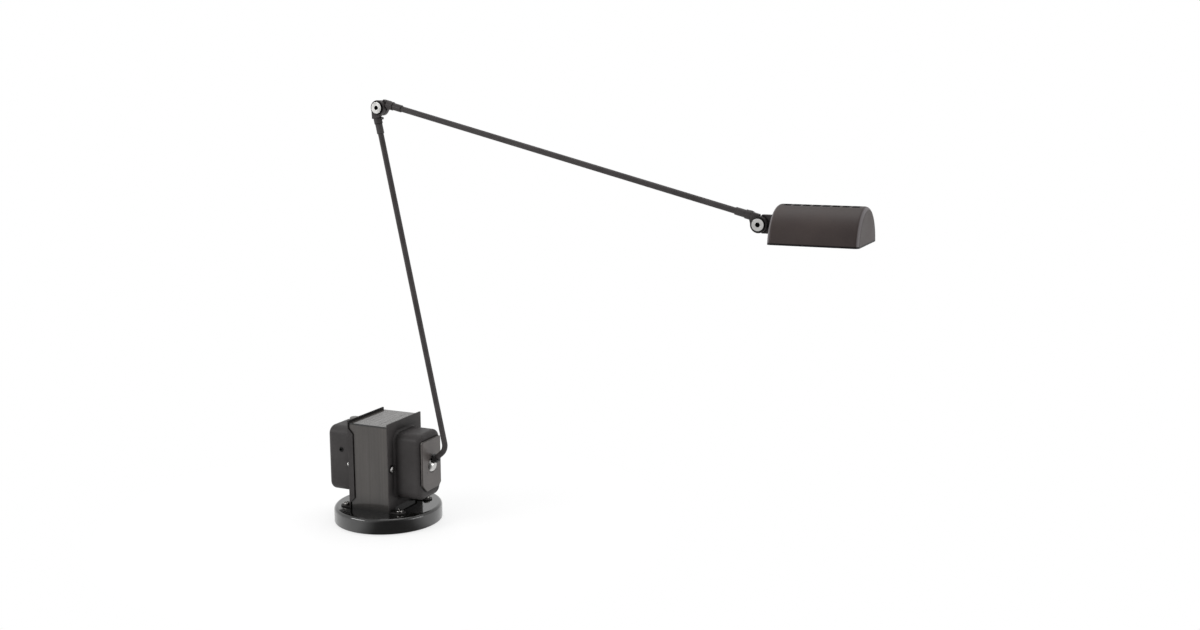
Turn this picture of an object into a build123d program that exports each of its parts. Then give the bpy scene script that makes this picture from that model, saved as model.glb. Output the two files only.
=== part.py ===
from build123d import *
from math import asin, atan2, cos, degrees, hypot, radians, sin, sqrt, tan
import os

os.makedirs("parts", exist_ok=True)

# Piano lamp: a round weighted base, a bell-ended transformer, two thin tube arms and a half-round head.
# Millimetres. Origin: centre of the base's underside. +Z up, +X towards the head.
# The arms lie in the plane Y = 0, and every hinge of the arms turns about Y.

# ---- fits and clearances ----
running_fit = 0.08
slip_fit = 0.05
loose_fit = 0.2
free_gap = 0.3
seat_gap = 0.1

# ---- base disc and pad ----
disc_radius = 55.0
disc_height = 15.7
disc_edge_radius = 3.2
disc_foot_radius = 0.8
pad_radius = 49.0
pad_thickness = 2.0
pad_proud = 0.8

# ---- transformer core: E and I laminations stacked along X ----
core_centre_x = -1.75
core_stack = 44.5
core_depth = 62.0
core_height = 89.3

# ---- coil ----
bobbin_wall = 1.2
primary_build = 5.0
secondary_build = 3.4
winding_gap = 0.2
bobbin_lip = 0.4
coil_air = 5.6

# ---- bells: pressed steel covers on both ends of the core ----
sheet = 1.2
flange_rise = 2.4
flange_corner = 0.6
flange_side = 11.0
right_bulge_depth = 31.0
left_bulge_depth = 34.4
bulge_drop = 9.0
bulge_corner_radius = 9.0
bulge_edge_radius = 5.0
bulge_root_radius = 2.4
foot_length = 14.0
foot_width = 11.0
foot_screw_reach = 8.2
flange_relief = 4.0
lip_reach = 5.0
lip_rise = 6.5
lip_drop = 5.8

# ---- screws, bolts and nuts ----
foot_screw_radius = 2.0
foot_screw_length = 11.0
foot_head_radius = 3.6
foot_head_height = 2.4
core_bolt_radius = 2.0
core_bolt_inset = 5.0
core_head_radius = 3.2
core_head_height = 2.6
core_nut_radius = 3.4
core_nut_height = 3.0
bolt_overhang = 1.4

# ---- side plate over the right bell ----
plate_thickness = 2.0
plate_front = 18.2
plate_rear = 16.4
plate_rise = 21.5
plate_drop = 6.8
plate_corner_radius = 1.8
plate_front_cut = 7.4
plate_rear_cut = 3.6

# ---- ball joint in the right bell ----
ball_radius = 8.0
ball_sink = 4.2
ball_rise = 46.3
stem_angle = 41.0
stem_radius = 2.2
stem_length = 10.2
stem_swing = 1.5
cup_radius = 9.4
cup_setback = 1.3
cup_floor = 3.0
lead_bore_radius = 2.0
housing_wall = 3.8
housing_end = 1.5
seat_spring_thickness = 0.9
seat_spring_radius = 8.0
housing_screw_radius = 1.0
housing_screw_head_radius = 1.7
housing_screw_head_height = 1.4
housing_screw_bite = 1.4
housing_screw_count = 3

# ---- arms ----
elbow_x = 3.45
elbow_rise = 401.6
lower_lean = 12.0
bend_radius = 11.5
upper_slope = 14.31
upper_length = 399.4
tube_radius = 2.8
tube_wall = 0.9
sleeve_wall = 0.65
rod_radius = 1.0
collar_radius = 4.5
collar_length = 3.2
ferrule_radius = 3.5
ferrule_length = 10.0

# ---- hinge eyes: one on each end of the arms, half lapped ----
eye_radius = 7.4
eye_half_thickness = 5.0
arm_offset = 5.2
web_crest = 8.8
web_crest_start = 1.5
barrel_radius = 4.1
barrel_length = 6.5
barrel_floor = 1.6
hinge_pin_radius = 2.5
bush_wall = 1.1
cap_radius = 6.0
cap_height = 1.9
socket_across_flats = 4.0
socket_depth = 1.5
lock_washer_radius = 5.0
lock_washer_thickness = 0.9
hinge_nut_across_flats = 8.0
hinge_nut_height = 3.2
wave_washer_radius = 6.6
wave_washer_thickness = 0.5
grub_radius = 1.25
grub_setback = 1.0
grub_proud = 0.2
lower_grub_proud = 2.2

# ---- head ----
shade_length = 78.3
shade_radius = 34.4
shade_drop = 2.2
shade_wall = 1.1
shade_edge_radius = 4.0
shade_gap = 15.9
shade_rise = 13.7
vent_count = 8
vent_pitch = 8.4
vent_length = 5.6
vent_width = 8.0
lug_top = 8.4
lug_bottom = 8.0
lug_bar_start = 1.5
lug_flange_thickness = 1.5
lug_flange_front = 13.5
lug_flange_rear = 16.5
lug_flange_height = 12.0
lug_screw_radius = 1.5
lug_screw_inset = 3.4
lug_head_radius = 2.6
lug_head_height = 1.7
bracket_thickness = 2.5
holder_length = 10.0
holder_width = 13.0
holder_height = 9.0
reflector_radius = 26.5
reflector_thickness = 0.6
reflector_rise = 3.2
reflector_end_gap = 2.0
bulb_radius = 4.75
bulb_glass = 0.8
bulb_length = 20.0
pinch_length = 6.0
pinch_width = 8.0
pinch_thickness = 3.2
pin_spacing = 4.0
pin_radius = 0.4
pin_depth = 7.0
filament_radius = 0.9
filament_length = 6.0

# ---- switch on top of the left bell ----
switch_reach = 14.3
switch_length = 7.6
switch_width = 14.0
switch_depth = 8.6
switch_bush_radius = 4.2
switch_bush_rise = 2.6
switch_ring_radius = 6.0
switch_ring_height = 1.6
button_radius = 5.2
button_height = 4.8
button_stem_radius = 2.4
button_stem_depth = 6.5
button_travel = 1.2

# ---- terminal block and cable inlet in the left bell ----
terminal_length = 10.0
terminal_width = 24.0
terminal_height = 11.0
terminal_rise = 25.5
terminal_ways = 3
terminal_screw_radius = 1.4
terminal_screw_depth = 5.0
inlet_reach = 18.0
inlet_rise = 56.8
inlet_neck_radius = 1.95
inlet_lip_radius = 2.35
inlet_lip = 0.7
inlet_bore_radius = 1.4

# ---- leads inside the bells ----
lead_radius = 0.9
lead_bend = 4.0

# ---- sizes that follow ----
disc_top = pad_proud + disc_height
core_x0 = core_centre_x - core_stack / 2
core_x1 = core_centre_x + core_stack / 2
core_top = disc_top + core_height
core_mid_z = disc_top + core_height / 2
core_bolt_y = core_depth / 2 - core_bolt_inset
limb = core_height / 6
window_length = core_depth - 2 * limb
coil_height = free_gap + bobbin_wall + primary_build + winding_gap + secondary_build + bobbin_lip
bulge_bottom = core_mid_z - limb - coil_height - coil_air - sheet
bulge_top = core_top - bulge_drop
bulge_width = core_depth - 2 * flange_side
lip_bottom = disc_top + lip_rise
lip_top = core_top - lip_drop
foot_y = core_depth / 2 - foot_width / 2
bell_x1 = core_x1 + right_bulge_depth
bell_x0 = core_x0 - left_bulge_depth
plate_x1 = bell_x1 + plate_thickness
plate_bottom = disc_top + plate_rise
plate_top = bulge_top - plate_drop
ball_x = plate_x1 - ball_sink
ball_z = disc_top + ball_rise
cup_front = ball_x - cup_setback
cup_back = ball_x - ball_radius - running_fit - cup_floor
housing_back = cup_back - 2 * seat_gap - seat_spring_thickness - housing_end
housing_front = bell_x1 - sheet
housing_bore = cup_radius + running_fit
housing_radius = housing_bore + housing_wall
switch_x = core_x0 - switch_reach
inlet_x = core_x0 - inlet_reach
inlet_z = disc_top + inlet_rise
terminal_bottom = disc_top + terminal_rise
elbow_z = disc_top + elbow_rise
tube_bore = tube_radius - tube_wall
sleeve_radius = tube_bore - seat_gap
sleeve_bore = sleeve_radius - sleeve_wall
bush_radius = hinge_pin_radius + slip_fit + bush_wall
eye_bore = bush_radius + slip_fit
barrel_start = eye_radius + 2 * free_gap
barrel_end = barrel_start + barrel_length
tube_end = barrel_start + barrel_floor
nut_face = eye_half_thickness + slip_fit + lock_washer_thickness + slip_fit
pin_reach = nut_face + hinge_nut_height + free_gap

# ---- directions in the plane of the arms, as (x, z) pairs ----
stem_dir = (cos(radians(stem_angle)), sin(radians(stem_angle)))
lower_up = (-sin(radians(lower_lean)), cos(radians(lower_lean)))
lower_down = (-lower_up[0], -lower_up[1])
lower_side = (-lower_up[1], lower_up[0])
upper_out = (cos(radians(upper_slope)), -sin(radians(upper_slope)))
upper_back = (-upper_out[0], -upper_out[1])
upper_side = (-upper_out[1], upper_out[0])
lower_inside = (-lower_side[0], -lower_side[1])
elbow = (elbow_x, elbow_z)
head_pin = (elbow_x + upper_length * upper_out[0], elbow_z + upper_length * upper_out[1])
head_x0 = head_pin[0] + shade_gap
head_x1 = head_x0 + shade_length
head_z0 = head_pin[1] - shade_rise
ball_point = (ball_x, ball_z)


# ---- plain helpers ----
def box(x0, x1, y0, y1, z0, z1):
    """A box between two opposite corners."""
    return Pos((x0 + x1) / 2, (y0 + y1) / 2, (z0 + z1) / 2) * Box(x1 - x0, y1 - y0, z1 - z0)


def rod_x(radius, x0, x1, y, z):
    """A cylinder along X."""
    return Pos((x0 + x1) / 2, y, z) * Rot(0, 90, 0) * Cylinder(radius, x1 - x0)


def rod_y(radius, y0, y1, x, z):
    """A cylinder along Y."""
    return Pos(x, (y0 + y1) / 2, z) * Rot(90, 0, 0) * Cylinder(radius, y1 - y0)


def rod_z(radius, z0, z1, x, y):
    """A cylinder along Z."""
    return Pos(x, y, (z0 + z1) / 2) * Cylinder(radius, z1 - z0)


def ball_at(radius, x, z):
    """A sphere with its poles along X."""
    return Pos(x, 0, z) * Rot(0, 90, 0) * Sphere(radius)


def step(point, direction, distance):
    """The point at a distance from another, both in the plane of the arms."""
    return (point[0] + distance * direction[0], point[1] + distance * direction[1])


def rod_along(radius, point, direction, t0, t1):
    """A cylinder in the plane of the arms, from t0 to t1 along a direction."""
    middle = step(point, direction, (t0 + t1) / 2)
    turned = Plane(origin=(middle[0], 0, middle[1]), x_dir=(0, 1, 0), z_dir=(direction[0], 0, direction[1]))
    return turned.location * Cylinder(radius, t1 - t0)


def anticlockwise(points):
    """The corners of an outline, in the order that faces it along its plane's own normal."""
    area = 0
    for index, point in enumerate(points):
        before = points[index - 1]
        area += before[0] * point[1] - point[0] * before[1]
    return points if area > 0 else points[::-1]


def plate_in_xz(points, y0, y1):
    """A prism over an outline in XZ, from y0 to y1."""
    outline = Plane.XZ * Polygon(*anticlockwise(points), align=None)
    return Pos(0, y1, 0) * extrude(outline, amount=y1 - y0)


def plate_in_yz(points, x0, x1):
    """A prism over an outline in YZ, from x0 to x1."""
    outline = Plane.YZ * Polygon(*anticlockwise(points), align=None)
    return Pos(x0, 0, 0) * extrude(outline, amount=x1 - x0)


def hexagon_prism(across_flats, y0, y1, x, z):
    """A hexagonal prism along Y."""
    outline = Plane.XZ * Pos(x, z) * RegularPolygon(across_flats / 2, 6, major_radius=False)
    return Pos(0, y1, 0) * extrude(outline, amount=y1 - y0)


def hexagon_along_x(radius, x0, x1, y, z):
    """A hexagonal prism along X, by its corner radius."""
    outline = Plane.YZ * Pos(y, z) * RegularPolygon(radius, 6)
    return Pos(x0, 0, 0) * extrude(outline, amount=x1 - x0)


def write(name, *solids):
    """Write one node: a solid, or a group of separate solids."""
    shape = solids[0] if len(solids) == 1 else Compound(children=list(solids))
    shape.label = name
    export_step(shape, "parts/" + name + ".step")


# ---- base ----
def base_disc():
    disc = rod_z(disc_radius, pad_proud, disc_top, 0, 0)
    disc = fillet(disc.edges().group_by(Axis.Z)[-1], disc_edge_radius)
    disc = fillet(disc.edges().group_by(Axis.Z)[0], disc_foot_radius)
    disc -= rod_z(pad_radius + loose_fit, pad_proud, pad_thickness, 0, 0)
    for x, y in foot_screw_places():
        disc -= rod_z(foot_screw_radius + slip_fit, screw_tip_z() - free_gap, disc_top, x, y)
    return disc


def base_pad():
    return rod_z(pad_radius, 0, pad_thickness, 0, 0)


def foot_screw_places():
    reach = sheet + foot_screw_reach
    return [(x, y) for x in (core_x0 - reach, core_x1 + reach) for y in (-foot_y, foot_y)]


def screw_seat_z():
    return disc_top + sheet


def screw_tip_z():
    return screw_seat_z() - foot_screw_length


def foot_screw(x, y):
    seat = screw_seat_z()
    head = rod_z(foot_head_radius, seat, seat + foot_head_height, x, y)
    head = fillet(head.edges().group_by(Axis.Z)[-1], foot_head_height * 0.4)
    slot_width = foot_head_radius * 0.3
    slot_floor = seat + foot_head_height * 0.55
    slot = box(x - foot_head_radius, x + foot_head_radius, y - slot_width / 2, y + slot_width / 2,
               slot_floor, seat + foot_head_height)
    return head + rod_z(foot_screw_radius, screw_tip_z(), seat, x, y) - slot


# ---- transformer ----
def bolt_holes(x0, x1):
    radius = core_bolt_radius + loose_fit
    front = rod_x(radius, x0, x1, -core_bolt_y, core_mid_z)
    return front + rod_x(radius, x0, x1, core_bolt_y, core_mid_z)


def core_e_stack():
    spine = box(core_x0, core_x1, -window_length / 2, core_depth / 2, disc_top, core_top)
    for z in (disc_top + limb, disc_top + 4 * limb):
        spine -= box(core_x0, core_x1, -window_length / 2, window_length / 2, z, z + limb)
    return spine - bolt_holes(core_x0, core_x1)


def core_i_stack():
    stack = box(core_x0, core_x1, -core_depth / 2, -window_length / 2, disc_top, core_top)
    return stack - bolt_holes(core_x0, core_x1)


def coil_layer(inside, outside, half_length):
    """A square tube round the middle limb, by its distances from that limb."""
    outer = box(core_x0 - outside, core_x1 + outside, -half_length, half_length,
                core_mid_z - limb - outside, core_mid_z + limb + outside)
    inner = box(core_x0 - inside, core_x1 + inside, -half_length, half_length,
                core_mid_z - limb - inside, core_mid_z + limb + inside)
    return outer - inner


def coil_sizes():
    start = free_gap + bobbin_wall
    first = start + primary_build
    second = first + winding_gap + secondary_build
    return start, first, second


def coil_bobbin():
    start, _, second = coil_sizes()
    half = window_length / 2 - free_gap
    body = coil_layer(free_gap, start, half)
    lip = coil_layer(free_gap, second + bobbin_lip, half)
    return body + (lip - box(core_x0 - second * 2, core_x1 + second * 2, -half + bobbin_wall, half - bobbin_wall,
                             core_mid_z - 2 * limb - second, core_mid_z + 2 * limb + second))


def primary_winding():
    start, first, _ = coil_sizes()
    return coil_layer(start, first, window_length / 2 - free_gap - bobbin_wall)


def secondary_winding():
    _, first, second = coil_sizes()
    return coil_layer(first + winding_gap, second, window_length / 2 - free_gap - bobbin_wall)


def rounded_bulge(depth, width, z0, z1, corner, edge):
    """A block with rounded corners seen from its end, and a rounded rim on its far face."""
    block = box(0, depth, -width / 2, width / 2, z0, z1)
    block = fillet(block.edges().filter_by(Axis.X), corner)
    return fillet(block.faces().sort_by(Axis.X)[-1].edges(), edge)


def bell_shell(half_width, bulge_depth):
    """One bell, with its flange on the plane X = 0 and its bulge towards +X."""
    top = core_top + flange_rise
    flange = box(0, sheet, -half_width, half_width, disc_top, top)
    flange = chamfer(flange.edges().filter_by(Axis.X).group_by(Axis.Z)[-1], flange_corner)
    bulge = rounded_bulge(bulge_depth, bulge_width, bulge_bottom, bulge_top, bulge_corner_radius,
                          bulge_edge_radius)
    shell = flange + bulge
    root = [edge for edge in shell.edges()
            if abs(edge.center().X - sheet) < 0.01
            and abs(edge.center().Y) < bulge_width / 2 + 0.01
            and bulge_bottom - 0.01 < edge.center().Z < bulge_top + 0.01]
    shell = fillet(root, bulge_root_radius)
    shell -= rounded_bulge(bulge_depth - sheet, bulge_width - 2 * sheet, bulge_bottom + sheet,
                           bulge_top - sheet, bulge_corner_radius - sheet, bulge_edge_radius - sheet)
    half_relief = foot_y - foot_width / 2
    shell -= box(0, sheet, -half_relief, half_relief, disc_top, disc_top + flange_relief)
    for y in (-foot_y, foot_y):
        tab = box(0, sheet + foot_length, y - foot_width / 2, y + foot_width / 2, disc_top, disc_top + sheet)
        tab = fillet(tab.edges().filter_by(Axis.Z).group_by(Axis.X)[-1], foot_width * 0.48)
        shell += tab
        shell -= rod_z(foot_screw_radius + loose_fit, disc_top, disc_top + sheet, sheet + foot_screw_reach, y)
    return shell


def wrap_lip(side):
    """A lip of the left bell that wraps round the core's front or rear face, with bevelled ends."""
    points = [(0, lip_bottom), (-lip_reach, lip_bottom + lip_reach), (-lip_reach, lip_top - lip_reach),
              (0, lip_top), (sheet, lip_top), (sheet, lip_bottom)]
    inner = core_depth / 2 + seat_gap
    outer = inner + sheet
    if side > 0:
        return plate_in_xz(points, inner, outer)
    return plate_in_xz(points, -outer, -inner)


def right_bell():
    bell = Pos(core_x1, 0, 0) * bell_shell(core_depth / 2, right_bulge_depth)
    bell -= bolt_holes(core_x1, core_x1 + sheet)
    bell -= rod_x(ball_radius + loose_fit * 2, housing_front, bell_x1, 0, ball_z)
    for y, z in housing_screw_places():
        bell -= rod_x(housing_screw_radius + slip_fit, housing_front, bell_x1, y, z)
    return bell


def left_bell():
    half_width = core_depth / 2 + seat_gap + sheet
    bell = bell_shell(half_width, left_bulge_depth) + wrap_lip(1) + wrap_lip(-1)
    bell = Pos(core_x0, 0, 0) * mirror(bell, about=Plane.YZ)
    bell -= bolt_holes(core_x0 - sheet, core_x0)
    bell -= rod_z(switch_bush_radius + slip_fit, bulge_top - sheet, bulge_top, switch_x, 0)
    wall_y = -bulge_width / 2
    bell -= rod_y(inlet_neck_radius + slip_fit, wall_y, wall_y + sheet, inlet_x, inlet_z)
    return bell


def core_bolt(y):
    seat = core_x1 + sheet
    head = rod_x(core_head_radius, seat, seat + core_head_height, y, core_mid_z)
    head = fillet(head.edges().group_by(Axis.X)[-1], core_head_height * 0.45)
    tip = core_x0 - sheet - core_nut_height - bolt_overhang
    return head + rod_x(core_bolt_radius, tip, seat, y, core_mid_z)


def core_nut(y):
    face = core_x0 - sheet
    nut = hexagon_along_x(core_nut_radius, face - core_nut_height, face, y, core_mid_z)
    return nut - rod_x(core_bolt_radius + slip_fit, face - core_nut_height, face, y, core_mid_z)


# ---- side plate ----
def side_plate():
    points = [(-plate_front, plate_top), (plate_rear, plate_top), (plate_rear, plate_bottom + plate_rear_cut),
              (plate_rear - plate_rear_cut, plate_bottom), (-plate_front + plate_front_cut, plate_bottom),
              (-plate_front, plate_bottom + plate_front_cut)]
    plate = plate_in_yz(points, bell_x1, plate_x1)
    plate = fillet(plate.edges().filter_by(Axis.X).group_by(Axis.Z)[-1], plate_corner_radius)
    plate -= ball_at(ball_radius + running_fit, ball_x, ball_z)
    cone_angle = radians(stem_angle + stem_swing)
    near = sheet
    far = ball_sink + 1
    start = stem_radius / cos(cone_angle) + free_gap
    cone = Cone(start + near * tan(cone_angle), start + far * tan(cone_angle), far - near)
    plate -= Pos(ball_x + (near + far) / 2, 0, ball_z) * Rot(0, 90, 0) * cone
    for y, z in housing_screw_places():
        plate -= rod_x(housing_screw_radius + slip_fit, bell_x1, bell_x1 + housing_screw_bite + seat_gap, y, z)
    return plate


# ---- ball joint ----
def housing_screw_places():
    ring = housing_bore + housing_wall / 2
    turns = [radians(90 + index * 360 / housing_screw_count) for index in range(housing_screw_count)]
    return [(ring * cos(turn), ball_z + ring * sin(turn)) for turn in turns]


def housing_screw(y, z):
    """A screw from inside the bell, through the housing and the bell's wall into the plate."""
    head = rod_x(housing_screw_head_radius, housing_back - housing_screw_head_height, housing_back, y, z)
    head = fillet(head.edges().group_by(Axis.X)[0], housing_screw_head_height * 0.3)
    return head + rod_x(housing_screw_radius, housing_back, bell_x1 + housing_screw_bite, y, z)


def socket_housing():
    housing = rod_x(housing_radius, housing_back, housing_front, 0, ball_z)
    housing -= rod_x(housing_bore, housing_back + housing_end, housing_front, 0, ball_z)
    housing -= rod_x(lead_bore_radius, housing_back, housing_front, 0, ball_z)
    for y, z in housing_screw_places():
        housing -= rod_x(housing_screw_radius + slip_fit, housing_back, housing_front, y, z)
    return housing


def seat_spring():
    x0 = housing_back + housing_end + seat_gap
    ring = rod_x(seat_spring_radius, x0, x0 + seat_spring_thickness, 0, ball_z)
    return ring - rod_x(lead_bore_radius * 1.6, x0, x0 + seat_spring_thickness, 0, ball_z)


def ball_cup():
    cup = rod_x(cup_radius, cup_back, cup_front, 0, ball_z)
    cup -= ball_at(ball_radius + running_fit, ball_x, ball_z)
    return cup - rod_x(lead_bore_radius, cup_back, cup_front, 0, ball_z)


def pivot_ball():
    ball = ball_at(ball_radius, ball_x, ball_z)
    stem = rod_along(stem_radius, ball_point, stem_dir, 0, stem_length)
    spigot = rod_along(tube_bore - slip_fit, ball_point, stem_dir, 0, stem_length + collar_length * 2)
    bore = rod_along(rod_radius + loose_fit, ball_point, stem_dir, -2 * ball_radius, stem_length * 3)
    return ball + stem + spigot - bore


# ---- arms ----
def lower_corner():
    """Where the line of the ball's stem meets the line of the straight lower arm."""
    start = step(elbow, lower_side, arm_offset)
    across = stem_dir[0] * lower_down[1] - stem_dir[1] * lower_down[0]
    gap_x = start[0] - ball_x
    gap_z = start[1] - ball_z
    along = (gap_x * lower_down[1] - gap_z * lower_down[0]) / across
    return step(ball_point, stem_dir, along)


def lower_path(t0, end_gap):
    """The lower arm's centre line, from t0 off the ball's centre to a gap below the elbow pin."""
    corner = lower_corner()
    turn = radians(90 + lower_lean - stem_angle)
    setback = bend_radius * tan(turn / 2)
    first = step(corner, stem_dir, -setback)
    last = step(corner, lower_up, setback)
    centre = step(first, (-stem_dir[1], stem_dir[0]), bend_radius)
    middle_angle = radians(stem_angle - 90) + turn / 2
    middle = step(centre, (cos(middle_angle), sin(middle_angle)), bend_radius)
    begin = step(ball_point, stem_dir, t0)
    end = step(step(elbow, lower_side, arm_offset), lower_down, end_gap)
    places = [Vector(p[0], 0, p[1]) for p in (begin, first, middle, last, end)]
    lines = [Line(places[0], places[1]), ThreePointArc(places[1], places[2], places[3]),
             Line(places[3], places[4])]
    return Wire([line.edge() for line in lines])


def lower_bar(radius, t0, end_gap):
    """A solid bar along the lower arm's centre line."""
    begin = step(ball_point, stem_dir, t0)
    section = Plane(origin=(begin[0], 0, begin[1]), z_dir=(stem_dir[0], 0, stem_dir[1])) * Circle(radius)
    return sweep(section, path=lower_path(t0, end_gap))


def lower_tube():
    start = stem_length + seat_gap
    return lower_bar(tube_radius, start, tube_end) - lower_bar(tube_bore, start, tube_end)


def lower_sleeve():
    start = stem_length + 2 * collar_length + seat_gap
    return lower_bar(sleeve_radius, start, tube_end) - lower_bar(sleeve_bore, start, tube_end)


def lower_rod():
    return lower_bar(rod_radius, -ball_radius * 0.9, tube_end + seat_gap)


def lower_collar():
    start = stem_length - free_gap
    collar = rod_along(collar_radius, ball_point, stem_dir, start, start + collar_length)
    collar -= rod_along(stem_radius + slip_fit, ball_point, stem_dir, start, start + collar_length)
    return collar - rod_along(tube_radius + slip_fit, ball_point, stem_dir, stem_length, start + collar_length)


def upper_bar(radius, gap0, gap1):
    """A bar along the upper arm's centre line, from gap0 past the elbow pin to gap1 short of the head pin."""
    axis = step(elbow, upper_side, arm_offset)
    return rod_along(radius, axis, upper_out, gap0, upper_length - gap1)


def ferrule(pin, away, side):
    axis = step(pin, side, arm_offset)
    ring = rod_along(ferrule_radius, axis, away, barrel_end, barrel_end + ferrule_length)
    ends = ring.edges().filter_by(GeomType.CIRCLE)
    far = step(axis, away, barrel_end + ferrule_length)
    rim = [edge for edge in ends if hypot(edge.arc_center.X - far[0], edge.arc_center.Z - far[1]) < 0.1]
    ring = chamfer(rim, ferrule_radius - tube_radius - 0.25)
    return ring - rod_along(tube_radius + slip_fit, axis, away, barrel_end, barrel_end + ferrule_length)


def arm_eye(pin, away, side, front, crest_start, crest):
    """A hinge eye with the round barrel that holds the arm's tube, half as thick where it laps."""
    inner = free_gap
    y0, y1 = (-eye_half_thickness, -inner) if front else (inner, eye_half_thickness)
    eye = rod_y(eye_radius, y0, y1, *pin)
    low = step(step(pin, away, eye_radius * 0.75), side, -eye_radius * 0.66)
    barrel_low = step(step(pin, away, barrel_start + 1), side, arm_offset - barrel_radius * 0.9)
    barrel_high = step(step(pin, away, barrel_start + 1), side, arm_offset + barrel_radius * 0.9)
    high = step(step(pin, away, crest_start), side, crest)
    web = plate_in_xz([pin, low, barrel_low, barrel_high, high], y0 * 0.88, y1) if front else \
        plate_in_xz([pin, low, barrel_low, barrel_high, high], y0, y1 * 0.88)
    axis = step(pin, side, arm_offset)
    barrel = rod_along(barrel_radius, axis, away, barrel_start, barrel_end)
    fitting = eye + web + barrel
    fitting -= rod_y(eye_bore, y0, y1, *pin)
    return fitting - rod_along(tube_radius + slip_fit, axis, away, tube_end - seat_gap, barrel_end)


def pin_bush(pin, front):
    y0, y1 = (-eye_half_thickness, -free_gap) if front else (free_gap, eye_half_thickness)
    return rod_y(bush_radius, y0, y1, *pin) - rod_y(hinge_pin_radius + slip_fit, y0, y1, *pin)


def hinge_pin(pin):
    face = -eye_half_thickness - slip_fit
    head = rod_y(cap_radius, face - cap_height, face, *pin)
    head = fillet(head.edges().group_by(Axis.Y)[0], cap_height * 0.35)
    head -= hexagon_prism(socket_across_flats, face - cap_height, face - cap_height + socket_depth, *pin)
    return head + rod_y(hinge_pin_radius, face, pin_reach, *pin)


def hinge_nut(pin):
    nut = hexagon_prism(hinge_nut_across_flats, nut_face, nut_face + hinge_nut_height, *pin)
    return nut - rod_y(hinge_pin_radius + slip_fit, nut_face, nut_face + hinge_nut_height, *pin)


def lock_washer(pin):
    y0 = eye_half_thickness + slip_fit
    ring = rod_y(lock_washer_radius, y0, y0 + lock_washer_thickness, *pin)
    return ring - rod_y(hinge_pin_radius + loose_fit, y0, y0 + lock_washer_thickness, *pin)


def wave_washer(pin):
    ring = rod_y(wave_washer_radius, -free_gap, wave_washer_thickness - free_gap, *pin)
    return ring - rod_y(bush_radius, -free_gap, wave_washer_thickness - free_gap, *pin)


def grub_place(pin, away, side):
    return step(step(pin, away, (barrel_start + barrel_end) / 2 - grub_setback), side, arm_offset)


def grub_screw(pin, away, side, out, proud):
    """The screw that clamps the tube in its barrel, pointing out of the arm."""
    return rod_along(grub_radius, grub_place(pin, away, side), out, tube_radius + seat_gap, barrel_radius + proud)


def drilled_eye(pin, away, side, front, out, crest_start, crest):
    """An arm eye with the hole for its grub screw."""
    hole = rod_along(grub_radius + slip_fit, grub_place(pin, away, side), out, 0, barrel_radius + 1)
    return arm_eye(pin, away, side, front, crest_start, crest) - hole


# ---- head ----
def head_lug():
    y0 = free_gap
    y1 = eye_half_thickness
    flange_x = head_x0 - lug_flange_thickness
    lug = rod_y(eye_radius, y0, y1, *head_pin)
    lug += box(head_pin[0] + lug_bar_start, flange_x, y0, y1, head_pin[1] - lug_bottom, head_pin[1] + lug_top)
    flange = box(flange_x, head_x0, -lug_flange_front, lug_flange_rear,
                 head_pin[1] - lug_flange_height / 2, head_pin[1] + lug_flange_height / 2)
    lug += fillet(flange.edges().filter_by(Axis.X), lug_flange_height * 0.3)
    lug -= rod_y(eye_bore, y0, y1, *head_pin)
    for y in lug_screw_rows():
        lug -= rod_x(lug_screw_radius + loose_fit, flange_x, head_x0, y, head_pin[1])
    return lug


def lug_screw_rows():
    return (-lug_flange_front + lug_screw_inset, lug_flange_rear - lug_screw_inset)


def shade_block(length, radius, x0, z0):
    """A half-round block along X, flat below."""
    block = rod_x(radius, x0, x0 + length, 0, head_z0 - shade_drop)
    return block & box(x0, x0 + length, -radius, radius, z0, head_z0 + radius)


def round_arches(block, radius):
    arches = [edge for edge in block.edges() if edge.geom_type == GeomType.CIRCLE]
    return fillet(arches, radius)


def shade_shell():
    shell = round_arches(shade_block(shade_length, shade_radius, head_x0, head_z0), shade_edge_radius)
    inside = shade_block(shade_length - 2 * shade_wall, shade_radius - shade_wall, head_x0 + shade_wall,
                         head_z0)
    shell -= round_arches(inside, shade_edge_radius - shade_wall)
    top = head_z0 - shade_drop + shade_radius
    first = (head_x0 + head_x1 - (vent_count - 1) * vent_pitch) / 2
    for index in range(vent_count):
        x = first + index * vent_pitch
        shell -= box(x - vent_length / 2, x + vent_length / 2, -vent_width / 2, vent_width / 2,
                     top - shade_wall * 2, top)
    for y in lug_screw_rows():
        shell -= rod_x(lug_screw_radius + loose_fit, head_x0, head_x0 + shade_wall, y, head_pin[1])
    return shell


def lug_screw(y):
    seat = head_x0 - lug_flange_thickness
    tip = head_x0 + shade_wall + bracket_thickness + free_gap
    head = rod_x(lug_head_radius, seat - lug_head_height, seat, y, head_pin[1])
    head = fillet(head.edges().group_by(Axis.X)[0], lug_head_height * 0.4)
    return head + rod_x(lug_screw_radius, seat, tip, y, head_pin[1])


def holder_bracket():
    x0 = head_x0 + shade_wall
    strip = box(x0, x0 + bracket_thickness, -lug_flange_front, lug_flange_rear,
                head_pin[1] - lug_flange_height / 2, head_pin[1] + lug_flange_height / 2)
    for y in lug_screw_rows():
        strip -= rod_x(lug_screw_radius + slip_fit, x0, x0 + bracket_thickness, y, head_pin[1])
    return strip


def holder_face():
    return head_x0 + shade_wall + bracket_thickness + holder_length


def bulb_pin_rows():
    return (-pin_spacing / 2, pin_spacing / 2)


def lamp_holder():
    face = holder_face()
    block = box(face - holder_length, face, -holder_width / 2, holder_width / 2,
                head_pin[1] - holder_height / 2, head_pin[1] + holder_height / 2)
    block = fillet(block.edges().filter_by(Axis.X), holder_height * 0.2)
    for y in bulb_pin_rows():
        block -= rod_x(pin_radius + slip_fit, face - pin_depth - free_gap, face, y, head_pin[1])
    return block


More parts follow.
